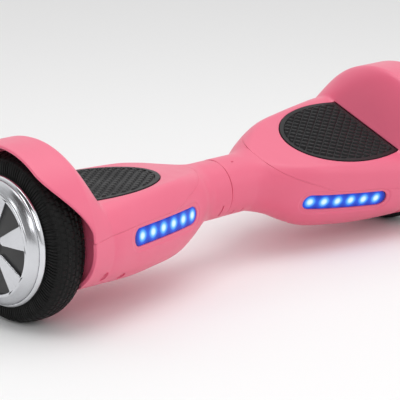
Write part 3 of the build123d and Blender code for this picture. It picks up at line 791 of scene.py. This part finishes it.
def rotor_rim():
    """The rim: inner barrel, outer lip with its rolled edge, and the recess to the hub cover."""
    shape = Shape()
    profile = [
        (249.0, 54.0), (249.0, 65.0), (250.9, 65.3), (250.95, TYRE_SEAT_R), (288.45, TYRE_SEAT_R),
        (288.5, LIP_R - 0.4), (290.0, LIP_R), (292.4, LIP_R - 0.7), (294.0, LIP_R - 2.0),
        (294.7, LIP_R - 3.3), (294.2, LIP_R - 4.0), (294.2, 55.0),
    ]
    lathe(shape, dense(rounded(profile, 0.8), 2.0), 256)
    shape.weld(0.001)
    shape.face_out((270, 0, 0))
    return shape


def hub_band(shape):
    """The polished band and the satin ring, as one lathe profile."""
    profile = [
        (294.6, 61.9), (295.6, 62.0), (297.2, 61.0), (299.2, 59.0), (301.0, 56.6), (302.1, 54.9),
        (302.2, 54.5), (302.7, 54.1), (303.1, 53.4), (HUB_X, 52.6), (HUB_X, HUB_RING_R + 0.5),
        (HUB_X - 0.5, HUB_RING_R), (301.0, HUB_RING_R),
    ]
    lathe(shape, rounded(profile, 0.35, 3), 256)


def hub_cover():
    """The polished band with its satin ring and six tapering spokes."""
    shape = Shape()
    hub_band(shape)
    for k in range(SPOKES):
        add_spoke(shape, SPOKE_PHASE + 2 * math.pi * k / SPOKES)
    shape.weld(0.001)
    bmesh.ops.recalc_face_normals(shape.bm, faces=shape.bm.faces[:])
    return shape


def spoke_outline():
    """Half a spoke's outline from its root, where the windows' corners are rounded, to its round tip."""
    half = math.tan(SPOKE_HALF)
    root = HUB_RING_R + 0.5
    fillet = 4.0
    side = []
    for k in range(9):
        a = math.pi / 2 * k / 8
        r = HUB_RING_R - fillet + fillet * math.sin(a) * 0.98
        extra = fillet * (1 - math.cos(a))
        width = (HUB_RING_R - fillet) * half + extra + (r - HUB_RING_R + fillet) * half * 0.4
        side.append((r, width))
    side = [(root, side[-1][1] + 0.8)] + side[::-1]
    waist = (HUB_RING_R + SPOKE_TIP_R) / 2
    side.append((waist, waist * half * 1.02))
    side.append((SPOKE_TIP_R + 3, (SPOKE_TIP_R + 3) * half))
    tip_half = SPOKE_TIP_R * half
    for k in range(1, 6):
        a = math.pi / 2 * k / 6
        side.append((SPOKE_TIP_R - tip_half * 0.9 * math.sin(a), tip_half * math.cos(a)))
    side.append((SPOKE_TIP_R - tip_half * 0.9, 0.0))
    return side


def add_spoke(shape, angle):
    """A spoke with a softly rounded face edge, laid out across its width."""
    side = spoke_outline()
    thick = 2.6
    round_r = 0.9
    levels = [(0.0, -thick), (0.0, -round_r)]
    for k in range(1, 4):
        a = math.pi / 2 * k / 3
        levels.append((round_r * (1 - math.cos(a)), -round_r * (1 - math.sin(a))))
    u = np.array((-math.cos(angle), math.sin(angle)))
    v = np.array((math.sin(angle), math.cos(angle)))
    grid = []
    for r, w in side:
        row = []
        edges = [(max(w - dw, 0.0), dx) for dw, dx in levels]
        inner = edges[-1][0]
        across = edges + [(inner * (1 - 2 * k / 8), 0.0) for k in range(1, 8)]
        across += [(-e[0], e[1]) for e in reversed(edges)]
        for s, dx in across:
            p = u * r + v * s
            row.append((HUB_X + dx, p[0], p[1]))
        grid.append(row)
    shape.grid(grid)


def hub_insert():
    """The black dish behind the spokes, with shallow moulded rings."""
    shape = Shape()
    profile = [
        (295.2, 53.3), (298.6, 53.3), (300.1, 50.0), (300.5, 30.0), (300.5, 15.0), (300.6, 13.2),
        (301.4, 12.4), (301.5, 11.0), (301.5, 4.0), (301.2, 3.0), (301.2, 0.01),
    ]
    lathe(shape, dense(rounded(profile, 0.5), 2.5), 128)
    shape.weld(WELD)
    shape.face_out((290, 0, 0))
    return shape


# ---------------------------------------------------------------- materials
def tree_of(name):
    """An empty material with its shader and object coordinates."""
    mat = bpy.data.materials.new(name)
    mat.use_nodes = True
    nodes = mat.node_tree.nodes
    shader = nodes["Principled BSDF"]
    where = nodes.new("ShaderNodeTexCoord").outputs["Object"]
    return mat, nodes, mat.node_tree.links, shader, where


def noise(nodes, links, where, scale, detail=3.0, roughness=0.5):
    node = nodes.new("ShaderNodeTexNoise")
    node.inputs["Scale"].default_value = scale
    node.inputs["Detail"].default_value = detail
    node.inputs["Roughness"].default_value = roughness
    links.new(where, node.inputs["Vector"])
    return node.outputs["Fac"]


def spread(nodes, links, value, low, high, out_low, out_high):
    """Maps a value's range low to high onto another range, and holds it there."""
    node = nodes.new("ShaderNodeMapRange")
    node.inputs["From Min"].default_value = low
    node.inputs["From Max"].default_value = high
    node.inputs["To Min"].default_value = out_low
    node.inputs["To Max"].default_value = out_high
    links.new(value, node.inputs["Value"])
    return node.outputs["Result"]


def mix(nodes, links, factor, a, b):
    """Mixes two colours, each a colour or the output of a node."""
    node = nodes.new("ShaderNodeMix")
    node.data_type = "RGBA"
    links.new(factor, node.inputs["Factor"])
    for socket, value in (("A", a), ("B", b)):
        target = [s for s in node.inputs if s.name == socket and s.type == "RGBA"][0]
        if hasattr(value, "is_linked"):
            links.new(value, target)
        else:
            target.default_value = (*value, 1)
    return [s for s in node.outputs if s.type == "RGBA"][0]


def bump(nodes, links, height, strength, distance, before=None):
    node = nodes.new("ShaderNodeBump")
    node.inputs["Strength"].default_value = strength
    node.inputs["Distance"].default_value = distance
    links.new(height, node.inputs["Height"])
    if before:
        links.new(before, node.inputs["Normal"])
    return node.outputs["Normal"]


def surface(name, colour, tint, rough, metallic=0.0, grain=1500.0, grain_depth=0.00004, wear=None,
            specular=0.5, sheen=0.0):
    """A surface with colour drift, uneven gloss, fine grain and, where asked, paler worn edges."""
    mat, nodes, links, shader, where = tree_of(name)
    drift = spread(nodes, links, noise(nodes, links, where, 9.0, 4.0), 0.35, 0.65, 0.0, 1.0)
    base = mix(nodes, links, drift, colour, tint)
    if wear:
        edge = nodes.new("ShaderNodeNewGeometry").outputs["Pointiness"]
        patchy = noise(nodes, links, where, 60.0, 5.0, 0.7)
        product = nodes.new("ShaderNodeMath")
        product.operation = "MULTIPLY"
        links.new(spread(nodes, links, edge, 0.57, 0.70, 0.0, 1.0), product.inputs[0])
        links.new(spread(nodes, links, patchy, 0.45, 0.7, 0.0, 0.8), product.inputs[1])
        base = mix(nodes, links, product.outputs[0], base, wear)
    links.new(base, shader.inputs["Base Color"])
    smear = noise(nodes, links, where, 26.0, 6.0, 0.65)
    links.new(spread(nodes, links, smear, 0.3, 0.7, rough[0], rough[1]), shader.inputs["Roughness"])
    fine = noise(nodes, links, where, grain, 2.0)
    broad = noise(nodes, links, where, 35.0, 2.0)
    normal = bump(nodes, links, broad, 0.12, 0.0002)
    links.new(bump(nodes, links, fine, 0.5, grain_depth, normal), shader.inputs["Normal"])
    shader.inputs["Metallic"].default_value = metallic
    shader.inputs["Specular IOR Level"].default_value = specular
    shader.inputs["Sheen Weight"].default_value = sheen
    return mat


def turned(name, colour, rough, lines):
    """Metal turned on a lathe about the axle: fine rings, cut by the tool, that catch the light."""
    mat, nodes, links, shader, where = tree_of(name)
    apart = nodes.new("ShaderNodeSeparateXYZ")
    links.new(where, apart.inputs[0])
    flat = nodes.new("ShaderNodeCombineXYZ")
    links.new(apart.outputs["Y"], flat.inputs["Y"])
    links.new(apart.outputs["Z"], flat.inputs["Z"])
    span = nodes.new("ShaderNodeVectorMath")
    span.operation = "DISTANCE"
    links.new(flat.outputs[0], span.inputs[0])
    span.inputs[1].default_value = (0, 0, AXLE_Z * MM)
    radius = nodes.new("ShaderNodeCombineXYZ")
    links.new(span.outputs["Value"], radius.inputs["X"])
    links.new(apart.outputs["X"], radius.inputs["Y"])
    rings = noise(nodes, links, radius.outputs[0], lines, 3.0, 0.7)
    smear = noise(nodes, links, where, 30.0, 5.0, 0.6)
    drift = spread(nodes, links, smear, 0.3, 0.7, 0.0, 1.0)
    dark = tuple(c * 0.86 for c in colour)
    links.new(mix(nodes, links, drift, colour, dark), shader.inputs["Base Color"])
    links.new(spread(nodes, links, smear, 0.3, 0.7, rough[0], rough[1]), shader.inputs["Roughness"])
    links.new(bump(nodes, links, rings, 0.35, 0.00003), shader.inputs["Normal"])
    shader.inputs["Metallic"].default_value = 1.0
    return mat


def lit_window():
    """Blue window: bright cyan-white where a light stands behind it, royal blue between, navy ends."""
    mat, nodes, links, shader, where = tree_of("blue_lens")
    glow = nodes.new("ShaderNodeAttribute")
    glow.attribute_name = "glow"
    ramp = nodes.new("ShaderNodeValToRGB")
    stops = [(0.0, (0.001, 0.006, 0.12)), (0.16, (0.002, 0.025, 0.40)), (0.42, (0.008, 0.10, 0.72)),
             (0.70, (0.12, 0.50, 1.0)), (0.92, (0.72, 0.95, 1.0))]
    ramp.color_ramp.elements[0].color = (*stops[0][1], 1)
    ramp.color_ramp.elements[1].position = stops[-1][0]
    ramp.color_ramp.elements[1].color = (*stops[-1][1], 1)
    for place, colour in stops[1:-1]:
        ramp.color_ramp.elements.new(place).color = (*colour, 1)
    links.new(glow.outputs["Fac"], ramp.inputs["Fac"])
    links.new(ramp.outputs["Color"], shader.inputs["Emission Color"])
    shader.inputs["Emission Strength"].default_value = 1.0
    drift = noise(nodes, links, where, 40.0, 3.0)
    base = mix(nodes, links, drift, (0.001, 0.004, 0.05), (0.002, 0.008, 0.08))
    links.new(base, shader.inputs["Base Color"])
    links.new(spread(nodes, links, drift, 0.3, 0.7, 0.2, 0.3), shader.inputs["Roughness"])
    fine = noise(nodes, links, where, 900.0, 2.0)
    links.new(bump(nodes, links, fine, 0.2, 0.00003), shader.inputs["Normal"])
    shader.inputs["Specular IOR Level"].default_value = 0.3
    return mat


SURFACES = {
    "pink_shell": dict(colour=(0.80, 0.112, 0.212), tint=(0.82, 0.124, 0.226), rough=(0.36, 0.48),
                       grain=2200.0, grain_depth=0.00002, wear=(0.92, 0.22, 0.32),
                       specular=0.8, sheen=0.13),
    "circuit_board": dict(colour=(0.012, 0.09, 0.03), tint=(0.02, 0.13, 0.04), rough=(0.35, 0.5)),
    "black_rubber": dict(colour=(0.005, 0.005, 0.006), tint=(0.009, 0.009, 0.010), rough=(0.36, 0.52),
                         grain=1400.0, grain_depth=0.0001, wear=(0.03, 0.03, 0.031), specular=0.3),
    "black_plastic": dict(colour=(0.012, 0.012, 0.013), tint=(0.02, 0.02, 0.021), rough=(0.3, 0.45),
                          wear=(0.06, 0.06, 0.06)),
    "dark_steel": dict(colour=(0.10, 0.10, 0.11), tint=(0.15, 0.15, 0.15), rough=(0.35, 0.5),
                       metallic=1.0),
    "cast_aluminium": dict(colour=(0.55, 0.56, 0.57), tint=(0.62, 0.62, 0.63), rough=(0.42, 0.6),
                           metallic=1.0, grain=700.0, grain_depth=0.00012),
    "steel": dict(colour=(0.52, 0.53, 0.55), tint=(0.60, 0.60, 0.61), rough=(0.22, 0.36), metallic=1.0),
    "copper": dict(colour=(0.62, 0.25, 0.12), tint=(0.55, 0.18, 0.08), rough=(0.25, 0.4), metallic=1.0),
    "cable_sheath": dict(colour=(0.02, 0.02, 0.022), tint=(0.035, 0.034, 0.035), rough=(0.45, 0.6)),
    "tyre_rubber": dict(colour=(0.003, 0.003, 0.003), tint=(0.007, 0.007, 0.007), rough=(0.40, 0.58),
                        grain=1100.0, grain_depth=0.00012, wear=(0.04, 0.039, 0.038), specular=0.18),
    "white_nylon": dict(colour=(0.75, 0.75, 0.72), tint=(0.8, 0.8, 0.78), rough=(0.35, 0.5)),
    "bronze": dict(colour=(0.50, 0.32, 0.14), tint=(0.42, 0.26, 0.11), rough=(0.35, 0.5), metallic=1.0),
    "battery_sleeve": dict(colour=(0.02, 0.07, 0.25), tint=(0.03, 0.09, 0.3), rough=(0.3, 0.45)),
}
MATERIALS = {name: surface(name, **values) for name, values in SURFACES.items()}
MATERIALS["blue_lens"] = lit_window()
MATERIALS["polished_rim"] = turned("polished_rim", (0.78, 0.79, 0.82), (0.08, 0.16), 1500.0)
MATERIALS["satin_hub"] = turned("satin_hub", (0.70, 0.71, 0.74), (0.16, 0.26), 2600.0)
MATERIALS["chrome_button"] = turned("chrome_button", (0.85, 0.86, 0.88), (0.08, 0.16), 1200.0)

# ---------------------------------------------------------------- carried-over nodes
for part in frame["record"]["subparts"]:
    node = frame["nodes"][part["node"]]
    for holder in node.material_slots:
        holder.material = MATERIALS[part["material_slot"]]

# ---------------------------------------------------------------- the two halves
for side in ("left", "right"):
    half, pad, wheel = f"{side}_half", f"{side}_pad", f"{side}_wheel"
    for shape, piece, body, slot, node in (
        (upper_cover(), "upper_shell", half, "pink_shell", "upper_cover"),
        (lower_cover(side), "lower_shell", half, "pink_shell", "lower_cover"),
        (light_lens(), "light_window", half, "blue_lens", "light_lens"),
        (foot_pad(), "tread_mat", pad, "black_rubber", "foot_pad"),
        (tyre(), "treaded_tyre", wheel, "tyre_rubber", "tyre"),
        (rotor_rim(), "wheel_rim", wheel, "polished_rim", "rotor_rim"),
        (hub_cover(), "spoked_cover", wheel, "satin_hub", "hub_cover"),
        (hub_insert(), "hub_dish", wheel, "black_plastic", "hub_insert"),
    ):
        shape.object(f"{side}_{piece}", side, body, slot, f"{side}_{node}")


# ---------------------------------------------------------------- studio
FLOOR_HALF = 30                        # metres
ROOM_STRENGTH = 0.92
FLAG_TOWARD = (-0.62, -0.25, 0.74)     # a dark panel there gives the polished metal something to mirror
FLAG_COLOUR = (0.10, 0.09, 0.09)
LIT_POINT = Vector((0, 0, 0.09))


def studio_floor():
    """A plain pale sheet under the board."""
    mat, _, _, shader, _ = tree_of("studio_paper")
    shader.inputs["Base Color"].default_value = (0.9, 0.9, 0.9, 1)
    shader.inputs["Roughness"].default_value = 0.8
    mesh = bpy.data.meshes.new("studio_floor")
    corners = [(x * FLOOR_HALF, y * FLOOR_HALF, 0) for x, y in ((-1, -1), (1, -1), (1, 1), (-1, 1))]
    mesh.from_pydata(corners, [], [(0, 1, 2, 3)])
    mesh.materials.append(mat)
    floor = bpy.data.objects.new("studio_floor", mesh)
    bpy.context.scene.collection.objects.link(floor)


def studio_room():
    """A white room: greyer towards the horizon, with one darker side and a dark panel."""
    world = bpy.data.worlds.new("studio")
    world.use_nodes = True
    nodes, links = world.node_tree.nodes, world.node_tree.links
    apart = nodes.new("ShaderNodeSeparateXYZ")
    links.new(nodes.new("ShaderNodeTexCoord").outputs["Generated"], apart.inputs[0])
    height = spread(nodes, links, apart.outputs["Z"], 0.0, 0.6, 0.8, 1.0)
    side = spread(nodes, links, apart.outputs["X"], -0.9, -0.3, 0.35, 1.0)
    product = nodes.new("ShaderNodeMath")
    product.operation = "MULTIPLY"
    links.new(height, product.inputs[0])
    links.new(side, product.inputs[1])
    toward = nodes.new("ShaderNodeVectorMath")
    toward.operation = "DOT_PRODUCT"
    links.new(nodes["Texture Coordinate"].outputs["Generated"], toward.inputs[0])
    toward.inputs[1].default_value = FLAG_TOWARD
    lit = mix(nodes, links, product.outputs[0], (0, 0, 0), (1, 1, 1))
    flag = spread(nodes, links, toward.outputs["Value"], 0.84, 0.93, 0.0, 1.0)
    links.new(mix(nodes, links, flag, lit, FLAG_COLOUR), nodes["Background"].inputs["Color"])
    nodes["Background"].inputs["Strength"].default_value = ROOM_STRENGTH
    bpy.context.scene.world = world


def softbox(name, place, size, power):
    """A rectangular area light that faces the board."""
    light = bpy.data.lights.new(name, "AREA")
    light.shape = "RECTANGLE"
    light.size, light.size_y = size
    light.energy = power
    lamp = bpy.data.objects.new(name, light)
    lamp.location = place
    lamp.rotation_euler = (LIT_POINT - lamp.location).to_track_quat("-Z", "Y").to_euler()
    bpy.context.scene.collection.objects.link(lamp)


studio_floor()
studio_room()
softbox("overhead", (0.1, -0.2, 1.7), (1.6, 1.2), 10.0)
softbox("front_left", (-1.5, -1.3, 1.1), (0.9, 0.9), 6.0)
softbox("front_right", (1.1, -1.7, 0.9), (0.8, 1.0), 2.0)
softbox("wheel_side", (-1.7, 0.3, 0.5), (0.3, 0.8), 2.5)

# ---------------------------------------------------------------- camera
AIM = Vector((0, 0, AXLE_Z * MM))
TOWARD_CAMERA = Vector((-0.685, -0.685, 0.249)).normalized()
CAMERA_DISTANCE = 2.0569

camera_data = bpy.data.cameras.new("camera")
camera_data.lens = 175.75
camera_data.sensor_width = 36.0
camera_data.shift_x = -0.0420
camera_data.shift_y = -0.0332
camera = bpy.data.objects.new("camera", camera_data)
camera.location = AIM + CAMERA_DISTANCE * TOWARD_CAMERA
camera.rotation_euler = (AIM - camera.location).to_track_quat("-Z", "Y").to_euler()
bpy.context.scene.collection.objects.link(camera)
bpy.context.scene.camera = camera
bpy.context.scene.view_settings.view_transform = "Standard"
